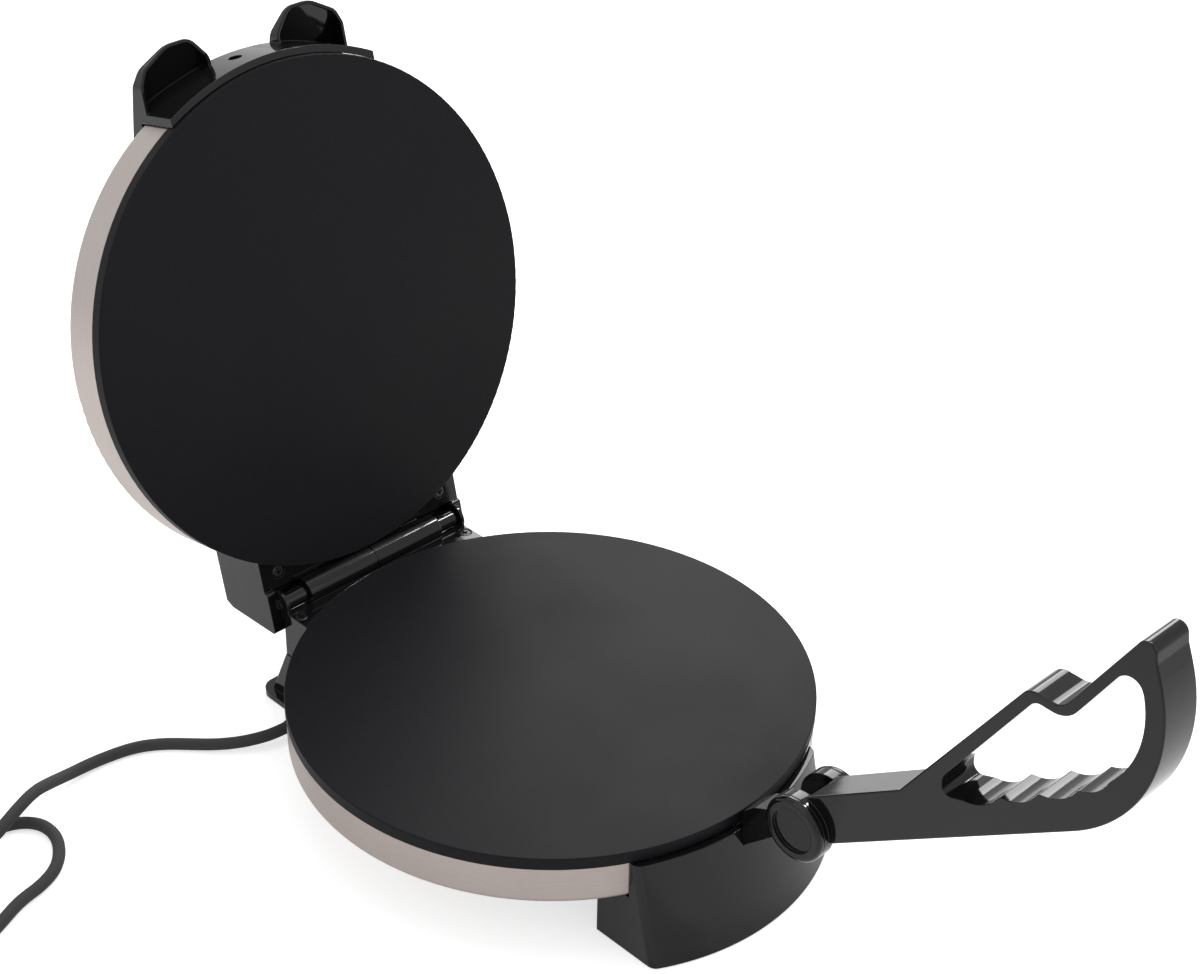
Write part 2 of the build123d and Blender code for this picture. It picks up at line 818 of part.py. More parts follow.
with BuildPart() as lid_front_bracket:
    for side in (-1, 1):
        add(ear(side, 0))
        add(ear(side, ear_wall), mode=Mode.SUBTRACT)
    add(back_block(0, skirt_low_z))
    add(back_block(pad_wall, lid_floor), mode=Mode.SUBTRACT)
    add(round_posts(lid_boss_points[:2], screw_head_r + pad_wall))
    with BuildSketch(lid):
        Circle(skirt_in_r)
    extrude(amount=lid_floor, mode=Mode.SUBTRACT)
    with BuildSketch(lid.offset(lid_floor + flange_t)):
        with Locations(*lid_boss_points[:2]):
            Circle(screw_head_r + part_gap)
    extrude(amount=above_bracket_z, mode=Mode.SUBTRACT)
    with BuildSketch(lid.offset(lid_floor)):
        with Locations(*lid_boss_points[:2]):
            Circle(screw_hole_r)
    extrude(amount=flange_t, mode=Mode.SUBTRACT)
    with BuildSketch(front_screw_seat):
        Circle(screw_head_r + part_gap)
    extrude(amount=2 * skirt_t, mode=Mode.SUBTRACT)
save(lid_front_bracket.part, "lid_front_bracket")
save(screw(front_screw_seat, 2 * skirt_t), "lid_front_screw")
save(
    screws(lid, lid_floor + flange_t, lid_boss_points[:2], screw_in_boss),
    "lid_front_bracket_screws",
)

face_screw_points = [(face_screw_x, face_screw_y), (-face_screw_x, face_screw_y)]


def rear_line(height):
    """The point of the lid bracket's slanted rear wall at a height."""
    drop = hump_top_z - hump_rear_drop - height
    run = (cheek_low_y - hump_rear_y) / (hump_top_z - hump_rear_drop - cheek_front_z)
    return (hump_rear_y + drop * run, height)


lamp_points = [(lamp_x, lamp_y), (-lamp_x, lamp_y)]
with BuildPart() as lid_hinge_bracket:
    with BuildSketch(upright(lid, -cheek_out_x)):
        with BuildLine():
            Polyline(
                (hump_front_y, lid_floor),
                (hump_front_y, lid_floor + flange_t),
                (hump_front_y + hump_front_slope, hump_top_z),
                (hump_rear_top_y, hump_top_z),
                (hump_rear_y, hump_top_z - hump_rear_drop),
                rear_line(hump_low_z),
                (hinge_y, hump_low_z),
                (hinge_y, face_front_z),
                (hump_front_y, face_front_z),
                close=True,
            )
        make_face()
    extrude(amount=2 * cheek_out_x)
    with BuildSketch(lid):
        Circle(skirt_in_r)
    extrude(amount=lid_floor, mode=Mode.SUBTRACT)
    with BuildSketch(upright(lid, -cheek_in_x)):
        with Locations((hinge_y, hinge_in_lid_z)):
            Circle(barrel_r + moving_gap)
    extrude(amount=2 * cheek_in_x, mode=Mode.SUBTRACT)
    for low_x in (-cheek_out_x, cheek_in_x):
        with BuildSketch(upright(lid, low_x)):
            with BuildLine():
                FilletPolyline(
                    (plate_r, hump_low_z + 1.0),
                    (plate_r, cheek_front_z),
                    (cheek_low_y, cheek_front_z),
                    rear_line(hump_low_z + 1.0),
                    radius=cheek_round_r,
                    close=True,
                )
            make_face()
        extrude(amount=cheek_t)
    # The cheek's heel, thicker inwards, which passes behind the base's posts.
    heel_front_y = hinge_y + barrel_r + moving_gap
    for low_x in (-cheek_in_x, cheek_in_x - cheek_heel_in):
        with BuildSketch(upright(lid, low_x)):
            with BuildLine():
                FilletPolyline(
                    (heel_front_y, hump_low_z),
                    (heel_front_y, cheek_front_z),
                    (cheek_low_y, cheek_front_z),
                    rear_line(hump_low_z),
                    radius=cheek_round_r,
                    close=True,
                )
            make_face()
        extrude(amount=cheek_heel_in)
    for centre_x in (-window_x, window_x):
        with BuildSketch(upright(lid, centre_x - lug_half_w)):
            with Locations((hinge_y, hinge_in_lid_z)):
                Circle(lug_r)
            with Locations((hinge_y, (hinge_in_lid_z + hump_low_z) / 2 + 0.5)):
                Rectangle(2 * lug_r - 2.0, hump_low_z - hinge_in_lid_z + 1.0)
        extrude(amount=2 * lug_half_w)
    with BuildSketch(upright(lid, -cheek_in_x)):
        with Locations((hinge_y, hinge_in_lid_z)):
            Circle(rod_hole_r)
    extrude(amount=2 * cheek_in_x, mode=Mode.SUBTRACT)
    with BuildSketch(upright(lid, -barrel_half_w)):
        with BuildLine():
            Polyline(
                (hump_front_y + hump_wall, lid_floor),
                (hump_front_y + hump_front_slope, hump_top_z - hump_wall),
                (plate_r, hump_top_z - hump_wall),
                (plate_r, lid_floor),
                close=True,
            )
        make_face()
    extrude(amount=2 * barrel_half_w, mode=Mode.SUBTRACT)
    with BuildSketch(lid.offset(lid_floor)):
        with Locations(*lid_boss_points[2:]):
            Circle(screw_hole_r)
    extrude(amount=hump_top_z, mode=Mode.SUBTRACT)
    with BuildSketch(lid.offset(hump_screw_z)):
        with Locations(*lid_boss_points[2:]):
            Circle(screw_head_r + part_gap)
    extrude(amount=hump_top_z, mode=Mode.SUBTRACT)
    with BuildSketch(lid.offset(face_front_z)):
        with Locations(*face_screw_points):
            Circle(screw_head_r + part_gap)
    extrude(amount=face_screw_sink, mode=Mode.SUBTRACT)
    with BuildSketch(lid.offset(face_front_z)):
        with Locations(*face_screw_points):
            Circle(screw_hole_r)
    extrude(amount=screw_l, mode=Mode.SUBTRACT)
    with BuildSketch(lid.offset(hump_top_z - hump_wall)):
        with Locations(*lamp_points):
            Circle(lamp_r - lamp_lip)
    extrude(amount=hump_wall, mode=Mode.SUBTRACT)
save(lid_hinge_bracket.part, "lid_hinge_bracket")
save(screws(lid, hump_screw_z, lid_boss_points[2:], screw_in_boss), "lid_hinge_bracket_screws")

towards_plate = Plane(origin=lid.origin, x_dir=-lid.x_dir, z_dir=-lid.z_dir)
save(
    screws(towards_plate, -(face_front_z + face_screw_sink), face_screw_points, face_screw_l),
    "lid_face_screws",
)

for name, point in zip(("power_lamp", "ready_lamp"), lamp_points):
    with BuildPart() as lamp:
        with BuildSketch(lid.offset(hump_top_z)):
            with Locations(point):
                Circle(lamp_r)
        extrude(amount=1.4)
        fillet(lamp.faces().sort_by(Axis(lid.origin, lid.z_dir))[-1].edges(), radius=1.0)
        with BuildSketch(lid.offset(hump_top_z)):
            with Locations(point):
                Circle(lamp_r - lamp_lip - running)
        extrude(amount=-hump_wall - 1.0)
    save(lamp.part, name)

# ---------------------------------------------------------------- press handle
along = (0, -math.cos(math.radians(handle_angle)), math.sin(math.radians(handle_angle)))
grip = Plane(origin=pivot.origin, x_dir=along, z_dir=(-1, 0, 0))
fork_seam = fork_half_w - cap_t

# The outline's corners along and across the arm, each with its rounding.
grip_corners = (
    (0.0, -9.9, 0.1),
    (207.4, -9.9, 70.5),
    (221.5, 51.8, 3.5),
    (227.8, 65.5, 4.2),
    (170.2, 39.8, 7.5),
    (158.2, 49.0, 7.0),
    (67.7, 12.3, 1.5),
    (0.0, 12.3, 0.1),
)
# The finger opening: its scalloped lower side, then its rounded corners.
scallop_points = ((101.0, 5.9), (121.0, 6.3), (141.7, 6.4), (162.3, 6.7), (178.6, 9.1))
scallop_lows = ((109.5, 3.4), (131.0, 3.4), (151.6, 3.8), (170.3, 5.7))
scallop_r = 1.6
opening_tip = ((198.3, 20.9), (210.4, 41.0))
opening_corners = (
    (212.3, 53.6, 6.0),
    (170.5, 34.6, 11.5),
    (159.0, 43.6, 4.8),
    (95.2, 16.6, 5.5),
    (90.3, 8.7, 4.0),
)

with BuildPart() as handle:
    with BuildSketch(grip):
        with BuildLine():
            FilletPolyline(
                [(u, v) for u, v, _ in grip_corners],
                radius=[r for _, _, r in grip_corners],
                close=True,
            )
        make_face()
    extrude(amount=handle_half_w, both=True)
    rims = handle.faces().filter_by(Axis.X).edges()
    fillet(rims, radius=grip_edge_r)
    with BuildSketch(grip.offset(-handle_half_w)):
        with BuildLine():
            for before, low, after in zip(scallop_points, scallop_lows, scallop_points[1:]):
                ThreePointArc(before, low, after)
            ThreePointArc(scallop_points[-1], opening_tip[0], opening_tip[1])
            FilletPolyline(
                [opening_tip[1], *[(u, v) for u, v, _ in opening_corners], scallop_points[0]],
                radius=[r for _, _, r in opening_corners],
            )
        make_face()
    extrude(amount=2 * handle_half_w, mode=Mode.SUBTRACT)
    crests = [
        edge
        for edge in handle.edges().filter_by(Axis.X)
        for crest in scallop_points[1:4]
        if (edge.center() - grip.from_local_coords((*crest, 0))).length < grip_edge_r
    ]
    fillet(crests, radius=scallop_r)
    with BuildSketch(grip.offset(-fork_seam)):
        Circle(fork_r)
    extrude(amount=2 * fork_seam)
    with BuildSketch(grip.offset(-fork_slot_half_w)):
        Circle(fork_slot_r)
        with Locations((-fork_r, 0)):
            Rectangle(2 * fork_r, 3 * fork_r)
    extrude(amount=2 * fork_slot_half_w, mode=Mode.SUBTRACT)
    with BuildSketch(grip.offset(-fork_seam)):
        Circle(pivot_pin_r + running)
    extrude(amount=2 * fork_seam, mode=Mode.SUBTRACT)
    for seam in (-fork_seam, fork_seam - cap_spigot_l):
        with BuildSketch(grip.offset(seam)):
            Circle(cap_spigot_r + running)
        extrude(amount=cap_spigot_l, mode=Mode.SUBTRACT)
save(handle.part, "handle")


def pivot_cap(seam):
    """A round cap on a fork cheek: rim, sunk face and a spigot towards the pin; seam faces outwards."""
    with BuildPart() as cap:
        with BuildSketch(seam):
            Circle(fork_r)
        extrude(amount=cap_t)
        outer_rim = cap.edges().sort_by(Axis(seam.origin, seam.z_dir))
        fillet(outer_rim[-1], radius=fork_edge_r)
        chamfer(outer_rim[0], length=0.4)
        with BuildSketch(seam.offset(cap_t)):
            Circle(cap_face_r)
        extrude(amount=-cap_recess, mode=Mode.SUBTRACT)
        with BuildSketch(seam):
            Circle(cap_spigot_r)
        extrude(amount=-cap_spigot_l)
    return cap.part


right_seam = Plane(origin=pivot.from_local_coords((fork_seam, 0, 0)), x_dir=(0, 1, 0), z_dir=(1, 0, 0))
left_seam = Plane(origin=pivot.from_local_coords((-fork_seam, 0, 0)), x_dir=(0, 1, 0), z_dir=(-1, 0, 0))
save(Compound(children=[pivot_cap(right_seam), pivot_cap(left_seam)]), "pivot_caps")

pin_half_l = fork_seam - cap_spigot_l
with BuildPart() as pivot_pin:
    with BuildSketch(grip.offset(-pin_half_l)):
        Circle(pivot_pin_r)
    extrude(amount=2 * pin_half_l)
save(pivot_pin.part, "pivot_pin")

# ---------------------------------------------------------------- mains cord and plug
relief_seat = Plane(
    origin=base.from_local_coords((-foot_half_w, relief_y, relief_z)), x_dir=(0, 1, 0), z_dir=(-1, 0, 0)
)
with BuildPart() as strain_relief:
    with BuildSketch(relief_seat):
        Circle(relief_r)
    with BuildSketch(relief_seat.offset(relief_l)):
        Circle(relief_tip_r)
    loft()
    with BuildSketch(relief_seat):
        Circle(relief_neck_r)
    extrude(amount=-foot_wall)
    with BuildSketch(relief_seat.offset(-foot_wall)):
        Circle(relief_r)
    extrude(amount=-2.0)
save(strain_relief.part, "strain_relief")

# The cord's route: places in the lower plate's frame, and the height of its centre above the counter.
cord_route = (
    (-foot_half_w - relief_l, relief_y, relief_z - counter_z),
    (-84.0, 110.2, 7.9),
    (-91.8, 113.7, 6.8),
    (-100.0, 119.4, 5.3),
    (-108.0, 127.1, 3.9),
    (-115.5, 135.8, 3.1),
    (-126.0, 146.6, 3.0),
    (-138.8, 154.2, 3.2),
    (-158.0, 158.2, 3.0),
    (-176.0, 156.0, 5.6),
    (-189.0, 151.0, 11.0),
    (-200.0, 146.5, 15.0),
    (-213.0, 141.0, 15.1),
    (-228.0, 136.5, 11.0),
    (-244.0, 134.0, 5.5),
    (-262.0, 133.0, 3.0),
    (-281.5, 129.0, 3.2),
    (-293.5, 120.8, 3.0),
    (-298.0, 107.5, 3.2),
    (-293.9, 94.5, 3.0),
    (-282.8, 86.7, 3.2),
    (-268.0, 86.5, 3.0),
    (-253.5, 92.5, 3.2),
    (-240.5, 98.5, 3.0),
    (-227.0, 100.5, 3.2),
    (-215.5, 106.0, 3.0),
    (-207.2, 115.8, 3.2),
    (-203.0, 126.5, 3.0),
    (-203.9, 136.8, 3.2),
    (-210.6, 145.2, 3.0),
    (-222.0, 148.8, 3.2),
    (-232.0, 151.6, 3.0),
    (-242.5, 156.4, 3.2),
    (-253.5, 160.0, 3.0),
    (-267.0, 160.0, 3.0),
)


def corner_radii(points):
    """The arc at each corner of a route: as large as 0.45 of its shorter run allows."""
    places = [Vector(*point) for point in points]
    radii = []
    for before, corner, after in zip(places, places[1:], places[2:]):
        turn = math.radians((corner - before).get_angle(after - corner))
        shorter = min((corner - before).length, (after - corner).length)
        radii.append(0.45 * shorter / math.tan(turn / 2))
    return radii


route_places = [
    tuple(base.from_local_coords((x, y, counter_z + height))) for x, y, height in cord_route
]
route_radii = corner_radii(route_places)
with BuildPart() as cord:
    with BuildLine() as route:
        FilletPolyline(route_places, radius=route_radii)
    with BuildSketch(Plane(route.wire() @ 0, z_dir=route.wire() % 0)):
        Circle(cord_r)
    sweep(path=route.wire())
print("cord radii", [round(r, 1) for r in route_radii])
print("cord length", round(route.wire().length, 1), "by volume", round(cord.part.volume / (math.pi * cord_r**2), 1))
save(cord.part, "cord")

coil_seat = Plane(origin=base.from_local_coords((*coil_centre, counter_z)))
with BuildPart() as cord_coil:
    with BuildSketch(Plane(origin=coil_seat.origin, x_dir=(1, 0, 0), z_dir=(0, -1, 0))):
        with Locations((coil_r, coil_h / 2)):
            RectangleRounded(coil_w, coil_h, cord_r)
    revolve(axis=Axis(coil_seat.origin, (0, 0, 1)))
save(cord_coil.part, "cord_coil")

# The plug lies on one side of the coil, its pins pointing to the back.
plug_seat = Plane(
    origin=base.from_local_coords(
        (coil_centre[0] - coil_r, coil_centre[1] - plug_l / 2, counter_z + coil_h + plug_r)
    ),
    x_dir=(-1, 0, 0),
    z_dir=(0, 1, 0),
)
with BuildPart() as plug_body:
    with BuildSketch(plug_seat):
        RectangleRounded(2 * plug_w, 2 * plug_r, plug_round_r)
    with BuildSketch(plug_seat.offset(plug_l)):
        RectangleRounded(2 * plug_w + 4.0, 2 * plug_r, plug_round_r)
    loft()
    with BuildSketch(plug_seat):
        Circle(relief_r + 1.0)
    with BuildSketch(plug_seat.offset(-plug_relief_l)):
        Circle(relief_tip_r)
    loft()
save(plug_body.part, "plug_body")

plug_face = plug_seat.offset(plug_l)
with BuildPart() as plug_pins:
    with BuildSketch(plug_face):
        with Locations((-plug_pin_pitch / 2, -plug_pin_drop), (plug_pin_pitch / 2, -plug_pin_drop)):
            Circle(plug_pin_r)
    extrude(amount=plug_pin_l)
    with BuildSketch(plug_face):
        with Locations((0, plug_earth_rise)):
            Circle(plug_earth_r)
    extrude(amount=plug_earth_l)
save(plug_pins.part, "plug_pins")
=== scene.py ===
"""Electric roti maker: finishes, mains cord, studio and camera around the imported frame.

Everything is in metres in the frame's own axes: +Z up, +Y from the press handle to the lid's hinge.
"""

import logging
import math
from abc import ABC, abstractmethod
from dataclasses import dataclass
from enum import Enum
from typing import Callable

import bpy
from mathutils import Matrix, Vector


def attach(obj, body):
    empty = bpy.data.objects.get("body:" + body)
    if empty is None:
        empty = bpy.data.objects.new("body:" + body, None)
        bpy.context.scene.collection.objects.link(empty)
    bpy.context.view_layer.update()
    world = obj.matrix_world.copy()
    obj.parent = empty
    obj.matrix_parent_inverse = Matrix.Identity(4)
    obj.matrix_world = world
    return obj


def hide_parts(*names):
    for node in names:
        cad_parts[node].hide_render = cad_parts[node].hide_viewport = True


logging.basicConfig(level=logging.INFO, format="%(message)s")
log = logging.getLogger("roti_maker")

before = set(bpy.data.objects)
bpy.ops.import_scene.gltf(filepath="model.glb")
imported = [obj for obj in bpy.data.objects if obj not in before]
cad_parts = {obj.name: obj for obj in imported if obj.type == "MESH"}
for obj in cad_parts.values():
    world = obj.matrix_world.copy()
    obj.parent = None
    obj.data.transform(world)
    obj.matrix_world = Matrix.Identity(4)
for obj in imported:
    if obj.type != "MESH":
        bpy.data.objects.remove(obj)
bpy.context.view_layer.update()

Colour = tuple[float, float, float, float]
Place = tuple[float, float, float]
Range = tuple[float, float]
Sockets = dict[str, bpy.types.NodeSocket]

# Places that several sub-assemblies share, in metres.
PLATE_CENTRE = Vector((0.0, 0.050, 0.059))
HINGE = Vector((0.0, 0.1848, 0.0609))
HINGE_TO_SHUT_LID = Vector((0.0, -0.1348, -0.0015))
OPEN_ANGLE = math.radians(102.9)
LID_CENTRE = HINGE + Matrix.Rotation(-OPEN_ANGLE, 3, "X") @ HINGE_TO_SHUT_LID

WHITE: Colour = (1.0, 1.0, 1.0, 1.0)


# ---------------------------------------------------------------- shader helpers
class Graph:
    """Short calls for adding and joining nodes in one shader tree."""

    def __init__(self, tree: bpy.types.NodeTree) -> None:
        """Keep the tree.

        Args:
            tree: The node tree that every call adds to.
        """
        self.tree = tree

    def node(self, kind: str, **inputs: object) -> bpy.types.Node:
        """Add a node and set or join its inputs.

        Args:
            kind: The node's type without its ShaderNode prefix.
            inputs: Values, or output sockets to join, by the input's name with _ for spaces.

        Returns:
            The new node.
        """
        made = self.tree.nodes.new("ShaderNode" + kind)
        self.fill(made, **inputs)
        return made

    def fill(self, node: bpy.types.Node, **inputs: object) -> None:
        """Set or join several inputs of a node.

        Args:
            node: The node.
            inputs: Values, or output sockets to join, by the input's name with _ for spaces.
        """
        for name, value in inputs.items():
            self.put(node.inputs[name.replace("_", " ")], value)

    def put(self, socket: bpy.types.NodeSocket, value: object) -> None:
        """Join an output to a socket, or set the socket's own value.

        Args:
            socket: The input socket.
            value: An output socket, or a plain value.
        """
        if isinstance(value, bpy.types.NodeSocket):
            self.tree.links.new(value, socket)
        else:
            socket.default_value = value

    def math(self, operation: str, *values: object, clamp: bool = False) -> bpy.types.NodeSocket:
        """Add a Math node.

        Args:
            operation: The operation's name.
            values: Its numbers or sockets in order.
            clamp: Whether the result is held between 0 and 1.

        Returns:
            The result socket.
        """
        made = self.node("Math")
        made.operation, made.use_clamp = operation, clamp
        for socket, value in zip(made.inputs, values):
            self.put(socket, value)
        return made.outputs[0]

    def ramp(self, factor: object, low: float, high: float) -> bpy.types.NodeSocket:
        """Map a range of a value to 0..1, held at both ends.

        Args:
            factor: The value's socket.
            low: The value that gives 0.
            high: The value that gives 1.

        Returns:
            The mapped value.
        """
        made = self.node("MapRange", Value=factor, From_Min=low, From_Max=high)
        return made.outputs["Result"]

    def spread(self, factor: object, low: float, high: float) -> bpy.types.NodeSocket:
        """Map 0..1 to a range.

        Args:
            factor: The value's socket.
            low: The result at 0.
            high: The result at 1.

        Returns:
            The mapped value.
        """
        made = self.node("MapRange", Value=factor, To_Min=low, To_Max=high)
        return made.outputs["Result"]

    def mix(self, factor: object, low: object, high: object) -> bpy.types.NodeSocket:
        """Mix two colours.

        Args:
            factor: The share of the second colour.
            low: The first colour or its socket.
            high: The second colour or its socket.

        Returns:
            The mixed colour.
        """
        made = self.node("Mix")
        made.data_type = "RGBA"
        self.fill(made, Factor=factor, A=low, B=high)
        return made.outputs["Result"]

    def noise(self, vector: object, scale: object, detail: float) -> bpy.types.NodeSocket:
        """Add a noise texture.

        Args:
            vector: Its coordinates.
            scale: Its scale.
            detail: Its octaves.

        Returns:
            Its value.
        """
        return self.node("TexNoise", Vector=vector, Scale=scale, Detail=detail).outputs["Fac"]

    def bump(self, height: object, distance: float, strength: float) -> bpy.types.Node:
        """Turn a height into a normal.

        Args:
            height: The height's socket, 0..1.
            distance: The height of 1 in metres.
            strength: The share of it that is used.

        Returns:
            The Bump node.
        """
        return self.node("Bump", Height=height, Distance=distance, Strength=strength)


def linear(red: float, green: float, blue: float) -> Colour:
    """Turn a colour written in 0..255 screen values into the linear colour that a shader takes.

    Args:
        red: Screen red.
        green: Screen green.
        blue: Screen blue.

    Returns:
        The linear colour with full alpha.
    """

    def channel(value: float) -> float:
        """One channel of it."""
        share = value / 255
        return share / 12.92 if share <= 0.04045 else ((share + 0.055) / 1.055) ** 2.4

    return channel(red), channel(green), channel(blue), 1.0


def scaled(colour: Colour, factor: float, lift: float = 0.0) -> Colour:
    """Scale a linear colour and lift it, with full alpha.

    Args:
        colour: The linear colour.
        factor: What each channel is multiplied by.
        lift: What is added to each channel after that.

    Returns:
        The new colour.
    """
    red, green, blue = (factor * share + lift for share in colour[:3])
    return red, green, blue, 1.0


@dataclass(frozen=True)
class Effect:
    """A shader node group that several finishes share."""

    name: str
    inputs: tuple[tuple[str, str, float], ...]
    outputs: tuple[tuple[str, str], ...]
    body: Callable[[Graph, Sockets, Sockets], None]

    def tree(self) -> bpy.types.NodeTree:
        """Build the group once, or find it.

        Returns:
            The group's tree.
        """
        found = bpy.data.node_groups.get(self.name)
        if found:
            return found
        tree = bpy.data.node_groups.new(self.name, "ShaderNodeTree")
        add = tree.interface.new_socket
        for label, kind, value in self.inputs:
            socket = add(label, in_out="INPUT", socket_type="NodeSocket" + kind)
            if kind == "Float":
                socket.default_value = value
        for label, kind in self.outputs:
            add(label, in_out="OUTPUT", socket_type="NodeSocket" + kind)
        source = tree.nodes.new("NodeGroupInput")
        drain = tree.nodes.new("NodeGroupOutput")
        graph = Graph(tree)
        self.body(
            graph,
            {socket.name: socket for socket in source.outputs if socket.name},
            {socket.name: socket for socket in drain.inputs if socket.name},
        )
        return tree

    def place(self, graph: Graph, **inputs: object) -> Sockets:
        """Place the group in a material.

        Args:
            graph: The material's graph.
            inputs: The group's own values here.

        Returns:
            Its outputs by name.
        """
        made = graph.node("Group")
        made.node_tree = self.tree()
        graph.fill(made, **inputs)
        return {socket.name: socket for socket in made.outputs}


# What the effects take from their textures. A range says where a mask is empty and where it is full.
MIDDLE: Range = (0.3, 0.7)
SMEARS: Range = (0.35, 0.75)
PATCH_SHARE = 0.23  # scale of the patches that smears come in, against the smears' own
SPECK_EDGE: Range = (0.09, 0.03)  # distance from a speck's middle
SPECK_CHANCE: Range = (0.93, 0.96)  # cells drawn below the first hold no speck
EDGE_BEND: Range = (0.995, 0.90)  # cosine between the rounded and the plain normal
EDGE_PATCHES: Range = (0.4, 0.6)
EDGE_WEAR: Range = (0.35, 1.0)  # the least and the most that an edge is worn
BEVEL_SAMPLES = 6
CLOUD_SCALE = 9.0
MOTTLE_SHARE = 0.5  # scale of the mottle against the grain's
MOTTLE: Range = (0.35, 0.65)
PEBBLE_SHARE = 0.6  # height of the pebbles against the mottle's
PEBBLES: Range = (0.2, 1.3)


def _handling_body(graph: Graph, given: Sockets, out: Sockets) -> None:
    """Soft smears that dull a polished surface, and a scatter of fine specks.

    Args:
        graph: The group's graph.
        given: Its input sockets by name.
        out: Its output sockets by name.
    """
    patch_scale = graph.math("MULTIPLY", given["Smear Scale"], PATCH_SHARE)
    smear = graph.noise(given["Vector"], given["Smear Scale"], detail=4.0)
    patch = graph.noise(given["Vector"], patch_scale, detail=2.0)
    mask = graph.math("MULTIPLY", graph.ramp(smear, *SMEARS), graph.ramp(patch, *MIDDLE))
    graph.put(out["Smear"], mask)
    speck = graph.node("TexVoronoi", Vector=given["Vector"], Scale=given["Speck Scale"])
    near = graph.ramp(speck.outputs["Distance"], *SPECK_EDGE)
    draw = graph.node("SeparateColor", Color=speck.outputs["Color"]).outputs["Red"]
    graph.put(out["Specks"], graph.math("MULTIPLY", near, graph.ramp(draw, *SPECK_CHANCE)))


HANDLING = Effect(
    "handling_marks",
    (("Vector", "Vector", 0.0), ("Smear Scale", "Float", 40.0), ("Speck Scale", "Float", 500.0)),
    (("Smear", "Float"), ("Specks", "Float")),
    _handling_body,
)


def _worn_edges_body(graph: Graph, given: Sockets, out: Sockets) -> None:
    """Where a piece's edges are, for a fine polish or a paler rub, and a softened normal there.

    Args:
        graph: The group's graph.
        given: Its input sockets by name.
        out: Its output sockets by name.
    """
    rounded = graph.node("Bevel", Radius=given["Radius"])
    rounded.samples = BEVEL_SAMPLES
    plain = graph.node("NewGeometry")
    product = graph.node("VectorMath")
    product.operation = "DOT_PRODUCT"
    for socket, normal in zip(product.inputs, (rounded, plain)):
        graph.put(socket, normal.outputs["Normal"])
    edge = graph.ramp(product.outputs["Value"], *EDGE_BEND)
    patch = graph.noise(given["Vector"], given["Patch Scale"], detail=3.0)
    wear = graph.spread(graph.ramp(patch, *EDGE_PATCHES), *EDGE_WEAR)
    graph.put(out["Edge"], graph.math("MULTIPLY", edge, wear))
    graph.put(out["Normal"], rounded.outputs["Normal"])


WORN_EDGES = Effect(
    "worn_edges",
    (("Vector", "Vector", 0.0), ("Radius", "Float", 0.0004), ("Patch Scale", "Float", 120.0)),
    (("Edge", "Float"), ("Normal", "Vector")),
    _worn_edges_body,
)


def _streak_body(graph: Graph, given: Sockets, out: Sockets) -> None:
    """Fine rubbed streaks that run round a drum's axis, on its wall and its top, with broad clouds.

    Args:
        graph: The group's graph.
        given: Its input sockets by name.
        out: Its output sockets by name.
    """
    parts = graph.node("SeparateXYZ", Vector=given["Vector"])
    angle = graph.math("ARCTAN2", parts.outputs["Y"], parts.outputs["X"])
    along = graph.math("MULTIPLY", angle, given["Length Share"])
    across = [graph.math("MULTIPLY", parts.outputs[name], parts.outputs[name]) for name in "XY"]
    reach = graph.math("SQRT", graph.math("ADD", *across))
    fine = graph.node("CombineXYZ", X=along, Y=parts.outputs["Z"], Z=reach)
    streak = graph.noise(fine.outputs["Vector"], given["Fineness"], detail=3.0)
    cloud = graph.noise(given["Vector"], CLOUD_SCALE, detail=2.0)
    graph.put(out["Streak"], graph.ramp(streak, *MIDDLE))
    graph.put(out["Cloud"], graph.ramp(cloud, *MIDDLE))


STREAKS = Effect(
    "rubbed_streaks",
    (("Vector", "Vector", 0.0), ("Length Share", "Float", 0.01), ("Fineness", "Float", 1500.0)),
    (("Streak", "Float"), ("Cloud", "Float")),
    _streak_body,
)


def _grain_body(graph: Graph, given: Sockets, out: Sockets) -> None:
    """A fine pebbled skin, as a height, and a mottle in it.

    Args:
        graph: The group's graph.
        given: Its input sockets by name.
        out: Its output sockets by name.
    """
    pebble = graph.node("TexVoronoi", Vector=given["Vector"], Scale=given["Grain Scale"])
    pebble.feature = "SMOOTH_F1"
    mottle_scale = graph.math("MULTIPLY", given["Grain Scale"], MOTTLE_SHARE)
    mottle = graph.noise(given["Vector"], mottle_scale, detail=4.0)
    pebbled = graph.math("MULTIPLY", pebble.outputs["Distance"], PEBBLE_SHARE)
    graph.put(out["Height"], graph.ramp(graph.math("ADD", pebbled, mottle), *PEBBLES))
    graph.put(out["Mottle"], graph.ramp(mottle, *MOTTLE))


GRAIN = Effect(
    "fine_grain",
    (("Vector", "Vector", 0.0), ("Grain Scale", "Float", 1500.0)),
    (("Height", "Float"), ("Mottle", "Float")),
    _grain_body,
)


class Drum(Enum):
    """The drum that a rubbed finish runs round."""

    BASE = "the lower drum, upright"
    LID = "the lid's drum, tilted back with the open lid"


def start_material(name: str) -> tuple[bpy.types.Material, Graph, bpy.types.Node]:
    """Make a material with its Principled shader.

    Args:
        name: The material's name.

    Returns:
        The material, its graph and its Principled shader.
    """
    made = bpy.data.materials.new(name)
    made.use_nodes = True
    shader = next(node for node in made.node_tree.nodes if node.type == "BSDF_PRINCIPLED")
    return made, Graph(made.node_tree), shader


def object_vector(graph: Graph) -> bpy.types.NodeSocket:
    """The object's own coordinates, which turn with a moving piece."""
    return graph.node("TexCoord").outputs["Object"]


